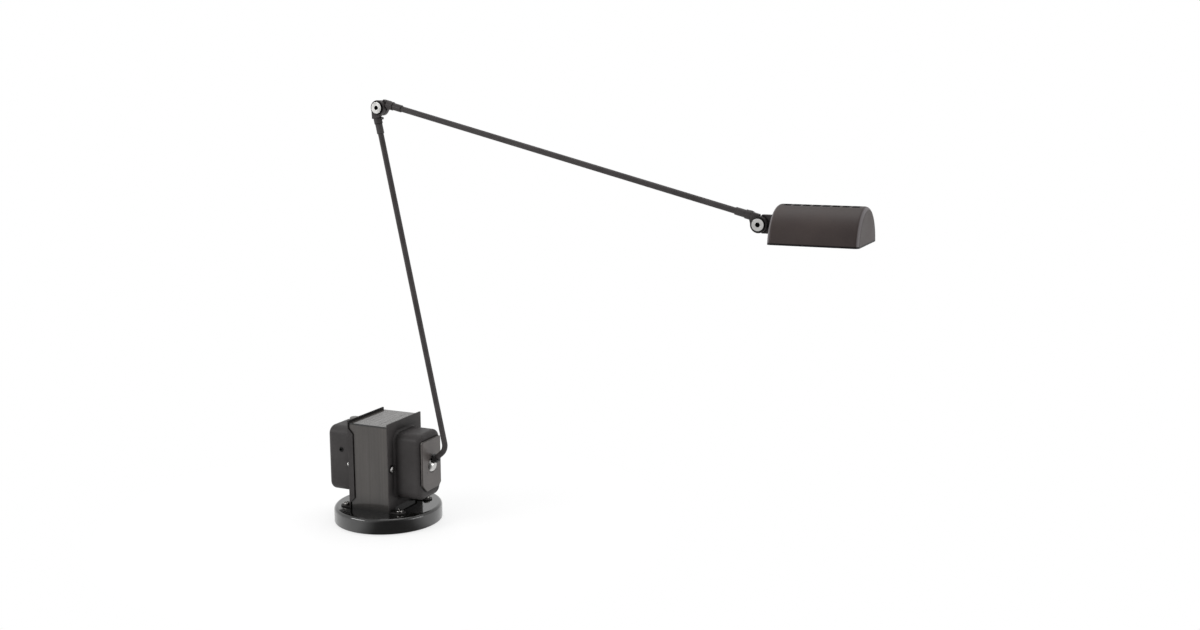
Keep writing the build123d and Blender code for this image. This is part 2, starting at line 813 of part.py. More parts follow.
def reflector():
    """A half-round trough with flat wings that reach the shade's walls."""
    x0 = holder_face() + 1
    x1 = head_x1 - shade_wall - reflector_end_gap
    z0 = head_z0 + reflector_rise
    trough = rod_x(reflector_radius, x0, x1, 0, z0) - rod_x(reflector_radius - reflector_thickness, x0, x1, 0, z0)
    trough &= box(x0, x1, -reflector_radius, reflector_radius, z0, z0 + reflector_radius)
    wall_y = sqrt((shade_radius - shade_wall) ** 2 - (reflector_rise + shade_drop + reflector_thickness) ** 2)
    wing_y = wall_y - free_gap
    for side in (-1, 1):
        near = side * (reflector_radius - reflector_thickness)
        far = side * wing_y
        trough += box(x0, x1, min(near, far), max(near, far), z0, z0 + reflector_thickness)
    return trough


def bulb_start():
    return holder_face() + free_gap


def bulb_capsule():
    """The glass capsule: a pinched base, a hollow tube and a round end."""
    x0 = bulb_start()
    x1 = x0 + pinch_length
    z = head_pin[1]
    pinch = box(x0, x1 + bulb_glass, -pinch_width / 2, pinch_width / 2, z - pinch_thickness / 2,
                z + pinch_thickness / 2)
    straight = bulb_length - bulb_radius
    body = rod_x(bulb_radius, x1, x1 + straight, 0, z) + ball_at(bulb_radius, x1 + straight, z)
    bore = bulb_radius - bulb_glass
    hollow = rod_x(bore, x1 + bulb_glass * 2, x1 + straight, 0, z) + ball_at(bore, x1 + straight, z)
    glass = pinch + body - hollow
    for y in bulb_pin_rows():
        glass -= rod_x(pin_radius + slip_fit, x0, x1 + bulb_glass * 2, y, z)
    return glass


def filament_middle():
    return bulb_start() + pinch_length + bulb_glass * 2 + filament_length / 2 + 2


def bulb_pin(y):
    tip = holder_face() - pin_depth
    return rod_x(pin_radius, tip, filament_middle(), y, head_pin[1])


def bulb_filament():
    half = pin_spacing / 2 - pin_radius
    return rod_y(filament_radius, -half, half, filament_middle() - pin_radius, head_pin[1])


# ---- switch ----
def switch_body():
    top = bulge_top - sheet
    body = box(switch_x - switch_length / 2, switch_x + switch_length / 2, -switch_width / 2, switch_width / 2,
               top - switch_depth, top)
    body += rod_z(switch_bush_radius, top, bulge_top + switch_bush_rise, switch_x, 0)
    floor = button_foot() - button_stem_depth - button_travel - free_gap
    return body - rod_z(button_stem_radius + running_fit, floor, bulge_top + switch_bush_rise, switch_x, 0)


def switch_ring():
    ring = rod_z(switch_ring_radius, bulge_top, bulge_top + switch_ring_height, switch_x, 0)
    ring = chamfer(ring.edges().group_by(Axis.Z)[-1], switch_ring_height * 0.3)
    return ring - rod_z(switch_bush_radius + slip_fit, bulge_top, bulge_top + switch_ring_height, switch_x, 0)


def button_foot():
    """The height of the cap's lower edge, when the button is up."""
    return bulge_top + switch_ring_height + free_gap + button_travel


def switch_button():
    """The button: a cap over the bush, and a stem that slides in it."""
    z0 = button_foot()
    roof = bulge_top + switch_bush_rise + button_travel + free_gap
    top = roof + button_height / 2
    cap = rod_z(button_radius, z0, top, switch_x, 0)
    cap = fillet(cap.edges().group_by(Axis.Z)[-1], button_height * 0.25)
    cap -= rod_z(switch_bush_radius + free_gap, z0, roof, switch_x, 0)
    return cap + rod_z(button_stem_radius, z0 - button_stem_depth, top - 1, switch_x, 0)


# ---- terminals and cable inlet ----
def terminal_rows():
    pitch = terminal_width / terminal_ways
    return [(index - (terminal_ways - 1) / 2) * pitch for index in range(terminal_ways)]


def terminal_block():
    x0 = bell_x0 + sheet
    top = terminal_bottom + terminal_height
    block = box(x0, x0 + terminal_length, -terminal_width / 2, terminal_width / 2, terminal_bottom, top)
    for y in terminal_rows():
        block -= rod_z(terminal_screw_radius + slip_fit, top - terminal_screw_depth - free_gap, top,
                       x0 + terminal_length / 2, y)
    return block


def terminal_screw(y):
    top = terminal_bottom + terminal_height
    return rod_z(terminal_screw_radius, top - terminal_screw_depth, top - 2 * free_gap,
                 bell_x0 + sheet + terminal_length / 2, y)


def cable_inlet():
    """A rubber bush in the bell's front wall, empty here."""
    wall = -bulge_width / 2
    inner = wall + sheet
    bush = rod_y(inlet_lip_radius, wall - inlet_lip, wall, inlet_x, inlet_z)
    bush = fillet(bush.edges().group_by(Axis.Y)[0], inlet_lip * 0.45)
    bush += rod_y(inlet_neck_radius, wall, inner, inlet_x, inlet_z)
    bush += rod_y(inlet_lip_radius, inner, inner + inlet_lip, inlet_x, inlet_z)
    return bush - rod_y(inlet_bore_radius, wall - inlet_lip, inner + inlet_lip, inlet_x, inlet_z)


# ---- leads inside the bells ----
def lead(*points):
    """A round lead along straight runs with equal bends."""
    path = FilletPolyline(*points, radius=lead_bend)
    section = Plane(origin=path @ 0, z_dir=path % 0) * Circle(lead_radius)
    return sweep(section, path=path)


def inner_leads():
    """Coil to ball joint, coil to terminals, and terminals to switch."""
    coil_x0 = core_x0 - coil_height
    coil_x1 = core_x1 + coil_height
    coil_z = core_mid_z + limb
    to_ball = rod_x(lead_radius, coil_x1 - bobbin_lip, housing_back, 0, ball_z)
    terminal_x = bell_x0 + sheet + terminal_length / 2
    terminal_z = terminal_bottom + terminal_height
    side_y = terminal_rows()[0]
    to_terminal = lead((coil_x0 + bobbin_lip, side_y, coil_z), (terminal_x, side_y, coil_z),
                       (terminal_x, side_y, terminal_z))
    low_z = bulge_top - sheet - switch_depth
    foot = Pos(terminal_x + terminal_length / 4, 0, terminal_z) * Circle(lead_radius)
    slant = Vector(switch_x - terminal_x - terminal_length / 2, 0, low_z - terminal_z)
    to_switch = extrude(foot, amount=slant.length, dir=slant.normalized())
    return to_ball, to_terminal, to_switch


# ---- nodes ----
write("base_disc", base_disc())
write("base_pad", base_pad())
write("foot_screws", *[foot_screw(x, y) for x, y in foot_screw_places()])
write("core_e_stack", core_e_stack())
write("core_i_stack", core_i_stack())
write("coil_bobbin", coil_bobbin())
write("primary_winding", primary_winding())
write("secondary_winding", secondary_winding())
write("left_bell", left_bell())
write("right_bell", right_bell())
write("core_bolts", core_bolt(-core_bolt_y), core_bolt(core_bolt_y))
write("core_nuts", core_nut(-core_bolt_y), core_nut(core_bolt_y))
write("side_plate", side_plate())
write("socket_housing", socket_housing())
write("housing_screws", *[housing_screw(y, z) for y, z in housing_screw_places()])
write("seat_spring", seat_spring())
write("ball_cup", ball_cup())
write("pivot_ball", pivot_ball())
write("lower_collar", lower_collar())
write("lower_tube", lower_tube())
write("lower_sleeve", lower_sleeve())
write("lower_rod", lower_rod())
write("lower_ferrule", ferrule(elbow, lower_down, lower_side))
write("elbow_front_eye", drilled_eye(elbow, lower_down, lower_side, True, lower_inside, 0, eye_radius))
write("elbow_back_eye",
      drilled_eye(elbow, upper_out, upper_side, False, upper_side, web_crest_start, web_crest))
write("upper_ferrules", ferrule(elbow, upper_out, upper_side), ferrule(head_pin, upper_back, upper_side))
write("upper_tube", upper_bar(tube_radius, tube_end, tube_end) - upper_bar(tube_bore, tube_end, tube_end))
write("upper_sleeve", upper_bar(sleeve_radius, tube_end, tube_end) - upper_bar(sleeve_bore, tube_end, tube_end))
write("upper_rod", upper_bar(rod_radius, tube_end, tube_end))
write("head_front_eye",
      drilled_eye(head_pin, upper_back, upper_side, True, upper_side, web_crest_start, web_crest))
write("lower_grub_screw", grub_screw(elbow, lower_down, lower_side, lower_inside, lower_grub_proud))
write("upper_grub_screws", grub_screw(elbow, upper_out, upper_side, upper_side, grub_proud),
      grub_screw(head_pin, upper_back, upper_side, upper_side, grub_proud))
for place, pin in (("elbow", elbow), ("head", head_pin)):
    write(place + "_pin", hinge_pin(pin))
    write(place + "_nut", hinge_nut(pin))
    write(place + "_lock_washer", lock_washer(pin))
    write(place + "_wave_washer", wave_washer(pin))
    write(place + "_front_bush", pin_bush(pin, True))
    write(place + "_back_bush", pin_bush(pin, False))
write("head_lug", head_lug())
write("lug_screws", *[lug_screw(y) for y in lug_screw_rows()])
write("shade_shell", shade_shell())
write("holder_bracket", holder_bracket())
write("lamp_holder", lamp_holder())
write("reflector", reflector())
write("bulb_capsule", bulb_capsule())
write("bulb_pins", *[bulb_pin(y) for y in bulb_pin_rows()])
write("bulb_filament", bulb_filament())
write("switch_body", switch_body())
write("switch_ring", switch_ring())
write("switch_button", switch_button())
write("terminal_block", terminal_block())
write("terminal_screws", *[terminal_screw(y) for y in terminal_rows()])
write("cable_inlet", cable_inlet())
write("inner_leads", *inner_leads())
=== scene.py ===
import math

import bmesh
import bpy
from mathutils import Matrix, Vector


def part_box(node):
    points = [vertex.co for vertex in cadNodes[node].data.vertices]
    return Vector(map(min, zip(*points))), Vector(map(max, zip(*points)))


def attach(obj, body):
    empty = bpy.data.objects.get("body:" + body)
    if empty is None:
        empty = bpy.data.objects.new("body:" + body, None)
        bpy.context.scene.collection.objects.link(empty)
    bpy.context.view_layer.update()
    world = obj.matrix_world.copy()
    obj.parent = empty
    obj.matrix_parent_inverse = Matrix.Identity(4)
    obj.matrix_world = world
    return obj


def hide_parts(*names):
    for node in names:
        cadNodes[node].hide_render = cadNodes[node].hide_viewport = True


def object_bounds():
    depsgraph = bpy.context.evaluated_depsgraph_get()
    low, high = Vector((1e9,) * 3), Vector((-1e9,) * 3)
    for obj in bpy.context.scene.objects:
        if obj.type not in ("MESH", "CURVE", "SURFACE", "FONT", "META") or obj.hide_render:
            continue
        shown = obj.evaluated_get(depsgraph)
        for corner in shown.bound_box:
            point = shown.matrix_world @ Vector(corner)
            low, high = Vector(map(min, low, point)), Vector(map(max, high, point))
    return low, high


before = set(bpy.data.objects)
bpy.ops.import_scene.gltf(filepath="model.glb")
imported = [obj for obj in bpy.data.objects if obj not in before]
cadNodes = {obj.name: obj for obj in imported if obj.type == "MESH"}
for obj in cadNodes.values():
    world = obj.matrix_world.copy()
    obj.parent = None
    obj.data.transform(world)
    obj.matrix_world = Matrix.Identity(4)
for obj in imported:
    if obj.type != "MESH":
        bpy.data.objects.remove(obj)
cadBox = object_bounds()
print("frame loaded:", len(cadNodes), "pieces")

# values that all the finishes share: the painted shade in a crease goes by the open share of its
# surroundings, an edge by the cosine between the rounded and the true normal
finishLook = {
    "bevelSamples": 6, "creaseSamples": 8, "creaseFull": 0.45, "creaseGone": 0.95,
    "edgeFull": 0.80, "edgeGone": 0.985,
    "chipFrom": 0.42, "chipTo": 0.62, "speckFrom": 0.45, "speckTo": 0.7,
    "grainSwing": 0.03, "markSwing": 0.04, "markStrength": 0.5, "mouldStrength": 0.6,
    "glowReach": (0.002, 0.0015, 0.001),
}


def tone(red, green, blue):
    # a screen colour, 0 to 255, as the linear colour that shaders take
    linear = []
    for value in (red, green, blue):
        share = value / 255
        linear.append(share / 12.92 if share <= 0.04045 else ((share + 0.055) / 1.055) ** 2.4)
    return (*linear, 1.0)


def addNode(tree, kind, inputs=None, **settings):
    node = tree.nodes.new(kind)
    for key, value in settings.items():
        setattr(node, key, value)
    for key, value in (inputs or {}).items():
        if isinstance(value, bpy.types.NodeSocket):
            tree.links.new(value, node.inputs[key])
        else:
            node.inputs[key].default_value = value
    return node


def objectPlace(tree):
    return addNode(tree, "ShaderNodeTexCoord").outputs["Object"]


def newMaterial(name, constants):
    # a Principled material with its constants set, ready for the rest to be wired up
    material = bpy.data.materials.new(name)
    material.use_nodes = True
    tree = material.node_tree
    shader = tree.nodes["Principled BSDF"]
    for key, value in constants.items():
        shader.inputs[key].default_value = value
    return material, tree, shader, objectPlace(tree)


def axesOf(tree, vector):
    return addNode(tree, "ShaderNodeSeparateXYZ", {0: vector}).outputs


def noiseAt(tree, place, scale, detail=3.0, stretch=(1, 1, 1)):
    mapping = addNode(tree, "ShaderNodeMapping", {"Vector": place, "Scale": stretch})
    noise = addNode(tree, "ShaderNodeTexNoise",
                    {"Vector": mapping.outputs["Vector"], "Scale": scale, "Detail": detail})
    return noise.outputs["Fac"]


def spread(tree, value, low, high, fromLow=0.3, fromHigh=0.7):
    ranged = addNode(tree, "ShaderNodeMapRange", {"Value": value, "From Min": fromLow, "From Max": fromHigh,
                                                  "To Min": low, "To Max": high})
    return ranged.outputs["Result"]


def reckon(tree, operation, *values):
    return addNode(tree, "ShaderNodeMath", dict(enumerate(values)), operation=operation).outputs[0]


def times(tree, first, second):
    return reckon(tree, "MULTIPLY", first, second)


def vectorNode(tree, operation, *values):
    return addNode(tree, "ShaderNodeVectorMath", dict(enumerate(values)), operation=operation).outputs


def distanceAcross(tree, place, centre, across):
    # distance from a line through the centre; across is 0 along the line and 1 along the other two axes
    offset = vectorNode(tree, "SUBTRACT", place, centre)[0]
    flat = vectorNode(tree, "MULTIPLY", offset, across)[0]
    return vectorNode(tree, "LENGTH", flat)["Value"]


def nearness(tree, value, middle, half, soft):
    # 1 within half of the middle, falling to 0 over the soft border
    away = reckon(tree, "ABSOLUTE", reckon(tree, "SUBTRACT", value, middle))
    return spread(tree, away, 1.0, 0.0, half, half + soft)


def blendColours(tree, factor, first, second):
    mix = tree.nodes.new("ShaderNodeMix")
    mix.data_type = "RGBA"
    for index, value in ((0, factor), (6, first), (7, second)):
        if isinstance(value, bpy.types.NodeSocket):
            tree.links.new(value, mix.inputs[index])
        else:
            mix.inputs[index].default_value = value
    return mix.outputs[2]


def beveled(tree, radius):
    # the normal as it would be with edges rounded to the radius
    return addNode(tree, "ShaderNodeBevel", {"Radius": radius}, samples=finishLook["bevelSamples"]).outputs[0]


def edgeMask(tree, radius, place, patchScale, least):
    # 1 on a sharp edge and 0 on a flat, broken up by a noise down to the least share
    rounded = beveled(tree, radius)
    geometry = addNode(tree, "ShaderNodeNewGeometry")
    facing = vectorNode(tree, "DOT_PRODUCT", rounded, geometry.outputs["Normal"])["Value"]
    edge = spread(tree, facing, 1.0, 0.0, finishLook["edgeFull"], finishLook["edgeGone"])
    chips = spread(tree, noiseAt(tree, place, patchScale, detail=5.0), least, 1.0,
                   finishLook["chipFrom"], finishLook["chipTo"])
    return rounded, times(tree, edge, chips)


def creased(tree, colour, look):
    # painted shade: darkens a colour where another surface stands close by, as shade falls in creases
    opening = addNode(tree, "ShaderNodeAmbientOcclusion", {"Distance": look["creaseReach"]},
                      samples=finishLook["creaseSamples"]).outputs["AO"]
    share = spread(tree, opening, look["creaseShare"], 0.0,
                   finishLook["creaseFull"], finishLook["creaseGone"])
    return blendColours(tree, share, colour, look["crease"])


def bumped(tree, height, distance, strength, normal=None):
    bump = addNode(tree, "ShaderNodeBump", {"Height": height, "Distance": distance, "Strength": strength})
    if normal is not None:
        tree.links.new(normal, bump.inputs["Normal"])
    return bump.outputs["Normal"]


def paintFinish(name, look):
    # paint on metal: cloudy colour, grain in the gloss, a fine skin, worn edges and painted shade in creases
    material, tree, shader, place = newMaterial(name, {"Specular IOR Level": look["specular"],
                                                       "Metallic": look["metallic"],
                                                       "Coat Weight": look["coat"],
                                                       "Coat Roughness": look["coatRoughness"]})
    clouds = noiseAt(tree, place, look["cloudScale"], detail=4.0)
    grain = noiseAt(tree, place, look["grainScale"])
    body = blendColours(tree, spread(tree, clouds, 0.0, 1.0), look["dark"], look["light"])
    specks = spread(tree, grain, 0.0, look["speckle"], finishLook["speckFrom"], finishLook["speckTo"])
    speckled = blendColours(tree, specks, body, look["fleck"])
    roundNormal, worn = edgeMask(tree, look["edgeRadius"], place, look["chipScale"], look["chipLeast"])
    colour = blendColours(tree, times(tree, worn, look["wear"]), speckled, look["bare"])
    tree.links.new(creased(tree, colour, look), shader.inputs["Base Color"])
    gloss = reckon(tree, "ADD", spread(tree, clouds, look["glossLow"], look["glossHigh"]),
                   spread(tree, grain, -finishLook["grainSwing"], finishLook["grainSwing"]))
    tree.links.new(gloss, shader.inputs["Roughness"])
    tree.links.new(bumped(tree, grain, look["skinHeight"], look["skinStrength"], roundNormal),
                   shader.inputs["Normal"])
    return material


def metalFinish(name, look):
    # bare or plated metal: faint marks along one axis, dull patches, and painted shade in creases if the look
    # asks
    material, tree, shader, place = newMaterial(name, {"Metallic": 1.0, "Anisotropic": look["anisotropy"]})
    marks = noiseAt(tree, place, look["markScale"], detail=6.0, stretch=look["markStretch"])
    patches = noiseAt(tree, place, look["patchScale"])
    body = blendColours(tree, spread(tree, patches, 0.0, 1.0), look["dark"], look["light"])
    streaked = blendColours(tree, spread(tree, marks, 0.0, look["markShare"]), body, look["mark"])
    shown = creased(tree, streaked, look) if "crease" in look else streaked
    tree.links.new(shown, shader.inputs["Base Color"])
    gloss = reckon(tree, "ADD", spread(tree, patches, look["glossLow"], look["glossHigh"]),
                   spread(tree, marks, -finishLook["markSwing"], finishLook["markSwing"]))
    tree.links.new(gloss, shader.inputs["Roughness"])
    roundNormal = beveled(tree, look["edgeRadius"])
    tree.links.new(bumped(tree, marks, look["markHeight"], finishLook["markStrength"], roundNormal),
                   shader.inputs["Normal"])
    return material


def mouldedFinish(name, look):
    # plastic, rubber or ceramic: soft mottling and a fine moulded grain
    material, tree, shader, place = newMaterial(name, {"Specular IOR Level": look["specular"],
                                                       "Subsurface Weight": look["glow"],
                                                       "Subsurface Radius": finishLook["glowReach"]})
    mottle = noiseAt(tree, place, look["mottleScale"], detail=4.0)
    grain = noiseAt(tree, place, look["grainScale"], detail=2.0)
    body = blendColours(tree, spread(tree, mottle, 0.0, 1.0), look["dark"], look["light"])
    tree.links.new(body, shader.inputs["Base Color"])
    tree.links.new(spread(tree, grain, look["glossLow"], look["glossHigh"]), shader.inputs["Roughness"])
    roundNormal = beveled(tree, look["edgeRadius"])
    tree.links.new(bumped(tree, grain, look["grainHeight"], finishLook["mouldStrength"], roundNormal),
                   shader.inputs["Normal"])
    return material


def recoloured(material, share, colour):
    # lays another colour over what the material shows, by a share from 0 to 1
    tree = material.node_tree
    shader = tree.nodes["Principled BSDF"]
    whole = shader.inputs["Base Color"].links[0].from_socket
    tree.links.new(blendColours(tree, share, whole, colour), shader.inputs["Base Color"])
    return material


def roughened(material, least):
    # raises the roughness to the least value where that is higher
    tree = material.node_tree
    shader = tree.nodes["Principled BSDF"]
    whole = shader.inputs["Roughness"].links[0].from_socket
    tree.links.new(reckon(tree, "MAXIMUM", whole, least), shader.inputs["Roughness"])
    return material


def paintNodes(material, *names):
    for name in names:
        mesh = cadNodes[name].data
        mesh.materials.clear()
        mesh.materials.append(material)


# base disc: stoved enamel, polished on top
discLook = {
    "specular": 0.1, "metallic": 0.0, "coat": 1.0, "coatRoughness": 0.05,
    "rim": 0.0030, "rimRoughness": 0.36, "rimSpecular": 0.8, "rimCoat": 0.6,
    "dark": tone(8, 8, 7), "light": tone(14, 13, 12), "fleck": tone(26, 25, 24), "bare": tone(80, 76, 74),
    "cloudScale": 22.0, "grainScale": 900.0, "chipScale": 260.0, "speckle": 0.15, "wear": 0.2,
    "edgeRadius": 0.0006, "glossLow": 0.14, "glossHigh": 0.24, "skinHeight": 0.00003, "skinStrength": 0.35,
    "chipLeast": 0.0, "crease": tone(6, 6, 6), "creaseReach": 0.003, "creaseShare": 0.8,
}


def polishTop(material, look, top):
    # polished on the flat top, satin down the rim
    tree = material.node_tree
    shader = tree.nodes["Principled BSDF"]
    height = axesOf(tree, objectPlace(tree))["Z"]
    fromLow, fromHigh = top - look["rim"], top
    roughened(material, spread(tree, height, look["rimRoughness"], 0.0, fromLow, fromHigh))
    tree.links.new(spread(tree, height, look["rimCoat"], look["coat"], fromLow, fromHigh),
                   shader.inputs["Coat Weight"])
    tree.links.new(spread(tree, height, look["rimSpecular"], look["specular"], fromLow, fromHigh),
                   shader.inputs["Specular IOR Level"])
    return material


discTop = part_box("base_disc")[1][2]
paintNodes(polishTop(paintFinish("discEnamel", discLook), discLook, discTop), "base_disc")

# bells: pressed sheet under satin paint, with painted shade that reaches far into the corners by the flanges
bellLook = {
    "specular": 0.1, "metallic": 0.0, "coat": 0.0, "coatRoughness": 0.1,
    "dark": tone(53, 51, 51), "light": tone(65, 63, 63), "fleck": tone(84, 79, 77), "bare": tone(92, 87, 84),
    "cloudScale": 38.0, "grainScale": 1400.0, "chipScale": 300.0, "speckle": 0.25, "wear": 0.25,
    "edgeRadius": 0.0005, "glossLow": 0.36, "glossHigh": 0.48, "skinHeight": 0.00006, "skinStrength": 0.5,
    "chipLeast": 0.0, "crease": tone(10, 9, 9), "creaseReach": 0.011, "creaseShare": 0.95,
}
paintNodes(paintFinish("bellPaint", bellLook), "left_bell", "right_bell")

# arms and their fittings: the same paint, worn where hands and hinges touch
armLook = {
    "specular": 0.1, "metallic": 0.0, "coat": 0.0, "coatRoughness": 0.1,
    "dark": tone(56, 53, 53), "light": tone(68, 65, 65), "fleck": tone(88, 84, 84),
    "bare": tone(112, 106, 103),
    "cloudScale": 60.0, "grainScale": 1800.0, "chipScale": 420.0, "speckle": 0.25, "wear": 0.35,
    "edgeRadius": 0.0004, "glossLow": 0.34, "glossHigh": 0.46, "skinHeight": 0.00005, "skinStrength": 0.5,
    "chipLeast": 0.0, "crease": tone(12, 11, 11), "creaseReach": 0.002, "creaseShare": 0.9,
}
paintNodes(paintFinish("armPaint", armLook), "lower_tube", "upper_tube", "head_lug", "elbow_front_eye",
           "elbow_back_eye", "head_front_eye", "lower_ferrule", "upper_ferrules")

collarLook = {
    "mottleScale": 120.0, "grainScale": 1500.0, "dark": tone(16, 15, 15), "light": tone(26, 24, 24),
    "glossLow": 0.38, "glossHigh": 0.55, "grainHeight": 0.00004, "edgeRadius": 0.0004,
    "specular": 0.5, "glow": 0.0,
}
paintNodes(mouldedFinish("collarBlack", collarLook), "lower_collar")

# side plate over the ball joint, its edge left dark
plateLook = {
    "specular": 0.5, "metallic": 0.0, "coat": 0.0, "coatRoughness": 0.1,
    "dark": tone(64, 60, 58), "light": tone(92, 86, 83), "fleck": tone(118, 111, 107),
    "bare": tone(18, 17, 17),
    "cloudScale": 26.0, "grainScale": 1500.0, "chipScale": 200.0, "speckle": 0.3, "wear": 1.0,
    "edgeRadius": 0.0016, "glossLow": 0.32, "glossHigh": 0.42, "skinHeight": 0.00004, "skinStrength": 0.4,
    "chipLeast": 1.0, "crease": tone(14, 13, 13), "creaseReach": 0.0015, "creaseShare": 0.9,
}
paintNodes(paintFinish("plateSatin", plateLook), "side_plate")

# head shell: brown-black lacquer with painted highlights at its ends and painted shade round the vents;
# it is dark along its bottom edge
headLook = {
    "specular": 0.14, "metallic": 0.0, "coat": 0.0, "coatRoughness": 0.1,
    "dark": tone(54, 47, 46), "light": tone(64, 56, 54), "fleck": tone(78, 69, 67), "bare": tone(92, 86, 85),
    "cloudScale": 30.0, "grainScale": 1400.0, "chipScale": 300.0, "speckle": 0.2, "wear": 0.2,
    "edgeRadius": 0.0008, "glossLow": 0.42, "glossHigh": 0.50, "skinHeight": 0.00003, "skinStrength": 0.3,
    "chipLeast": 0.0, "crease": tone(10, 10, 10), "creaseReach": 0.002, "creaseShare": 0.8,
    "endHighlight": tone(128, 124, 126), "endHighlightShare": 0.6,
    "endHighlightFrom": 0.35, "endHighlightFull": 0.6, "endHighlightFade": 0.9, "endHighlightTo": 0.99,
    "ventPitch": 0.0084, "ventCount": 8, "ventLength": 0.0056,
    "ventAndHemDark": tone(12, 11, 11), "ventAndHemShare": 0.95, "ventShadeReach": 0.0065, "ventShadeSoft": 0.0012,
    "hem": 0.0012, "hemSoft": 0.0008,
}


def rubEnds(material, look):
    # painted highlight: the lacquer is lighter along the rounded edges of the two end walls
    tree = material.node_tree
    outward = addNode(tree, "ShaderNodeTexCoord").outputs["Normal"]
    turned = reckon(tree, "ABSOLUTE", axesOf(tree, outward)["X"])
    begun = spread(tree, turned, 0.0, 1.0, look["endHighlightFrom"], look["endHighlightFull"])
    ended = spread(tree, turned, 1.0, 0.0, look["endHighlightFade"], look["endHighlightTo"])
    return recoloured(material, times(tree, times(tree, begun, ended), look["endHighlightShare"]), look["endHighlight"])


def scorchVents(material, look, low, high):
    # painted shade round each vent in the ridge: darker there, and duller
    tree = material.node_tree
    axes = axesOf(tree, objectPlace(tree))
    middleX, middleY = (low[0] + high[0]) / 2, (low[1] + high[1]) / 2
    pitch, soft = look["ventPitch"], look["ventShadeSoft"]
    count = reckon(tree, "MULTIPLY_ADD", axes["X"], 1 / pitch, look["ventCount"] / 2 - middleX / pitch)
    within = reckon(tree, "FRACT", count)
    roundVent = nearness(tree, within, 0.5, look["ventLength"] / 2 / pitch, soft / pitch)
    inRow = nearness(tree, axes["X"], middleX, look["ventCount"] * pitch / 2, soft)
    onRidge = nearness(tree, axes["Y"], middleY, look["ventShadeReach"], soft)
    share = times(tree, times(tree, times(tree, roundVent, inRow), onRidge), look["ventAndHemShare"])
    return roughened(recoloured(material, share, look["ventAndHemDark"]), share)


def darkHem(material, look, bottom):
    # darker along the bottom edge
    tree = material.node_tree
    height = axesOf(tree, objectPlace(tree))["Z"]
    upTo = bottom + look["hem"]
    share = spread(tree, height, look["ventAndHemShare"], 0.0, upTo, upTo + look["hemSoft"])
    return recoloured(material, share, look["ventAndHemDark"])


shadeLow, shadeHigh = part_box("shade_shell")
headPaint = rubEnds(paintFinish("headLacquer", headLook), headLook)
headPaint = darkHem(scorchVents(headPaint, headLook, shadeLow, shadeHigh), headLook, shadeLow[2])
paintNodes(headPaint, "shade_shell")
print("painted pieces done")

# nickel ball and screws, with painted shade where other parts stand close
nickelLook = {
    "dark": tone(186, 185, 183), "light": tone(216, 215, 213), "mark": tone(150, 148, 145),
    "markScale": 700.0, "markStretch": (1.0, 1.0, 6.0), "markShare": 0.3, "markHeight": 0.00001,
    "patchScale": 140.0, "glossLow": 0.18, "glossHigh": 0.3, "anisotropy": 0.0, "edgeRadius": 0.0003,
    "crease": tone(10, 10, 10), "creaseReach": 0.0025, "creaseShare": 1.0,
}
paintNodes(metalFinish("brightNickel", nickelLook), "pivot_ball", "core_bolts")

# hinge pins: the cap's face is bright between painted shade in its socket and a ring of painted shade at its
# rim
capLook = {**nickelLook, "socket": 0.0022, "rim": 0.0053, "soft": 0.0003, "black": tone(8, 8, 8)}


def turnedCap(name, look, node):
    # socket and rim are distances from the pin's axis, which lies along Y
    material = metalFinish(name, look)
    tree = material.node_tree
    low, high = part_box(node)
    centre = ((low[0] + high[0]) / 2, 0.0, (low[2] + high[2]) / 2)
    radius = distanceAcross(tree, objectPlace(tree), centre, (1, 0, 1))
    inSocket = spread(tree, radius, 1.0, 0.0, look["socket"] - look["soft"], look["socket"])
    onRim = spread(tree, radius, 0.0, 1.0, look["rim"], look["rim"] + look["soft"])
    # painted shade: black in the socket and round the rim of the cap
    return recoloured(material, reckon(tree, "MAXIMUM", inSocket, onRim), look["black"])


paintNodes(turnedCap("elbowCap", capLook, "elbow_pin"), "elbow_pin")
paintNodes(turnedCap("headCap", capLook, "head_pin"), "head_pin")

# oiled black screws and the switch's ring; the foot screws take a lighter copy of the same steel
# as a painted highlight for their glints
blackSteelLook = {
    "dark": tone(58, 57, 57), "light": tone(84, 83, 82), "mark": tone(124, 122, 120),
    "markScale": 600.0, "markStretch": (1.0, 1.0, 5.0), "markShare": 0.4, "markHeight": 0.00001,
    "patchScale": 160.0, "glossLow": 0.12, "glossHigh": 0.22, "anisotropy": 0.0, "edgeRadius": 0.0003,
}
paintNodes(metalFinish("blackSteel", blackSteelLook), "lower_grub_screw", "upper_grub_screws", "switch_ring")
footScrewLook = {**blackSteelLook, "dark": tone(120, 118, 116), "light": tone(170, 168, 165)}
paintNodes(metalFinish("footScrewSteel", footScrewLook), "foot_screws")

steelLook = {
    "dark": tone(132, 131, 130), "light": tone(168, 167, 166), "mark": tone(104, 102, 100),
    "markScale": 420.0, "markStretch": (8.0, 1.0, 1.0), "markShare": 0.5, "markHeight": 0.00002,
    "patchScale": 90.0, "glossLow": 0.3, "glossHigh": 0.45, "anisotropy": 0.2, "edgeRadius": 0.0003,
}
paintNodes(metalFinish("zincSteel", steelLook), "elbow_nut", "head_nut", "elbow_lock_washer",
           "head_lock_washer", "elbow_wave_washer", "head_wave_washer", "seat_spring", "housing_screws",
           "lug_screws", "holder_bracket", "socket_housing", "bulb_pins", "core_nuts")

brassLook = {
    "dark": tone(150, 118, 62), "light": tone(196, 160, 92), "mark": tone(110, 84, 42),
    "markScale": 380.0, "markStretch": (6.0, 1.0, 1.0), "markShare": 0.4, "markHeight": 0.00002,
    "patchScale": 80.0, "glossLow": 0.26, "glossHigh": 0.4, "anisotropy": 0.1, "edgeRadius": 0.0003,
}
paintNodes(metalFinish("bareBrass", brassLook), "lower_rod", "upper_rod", "terminal_screws")
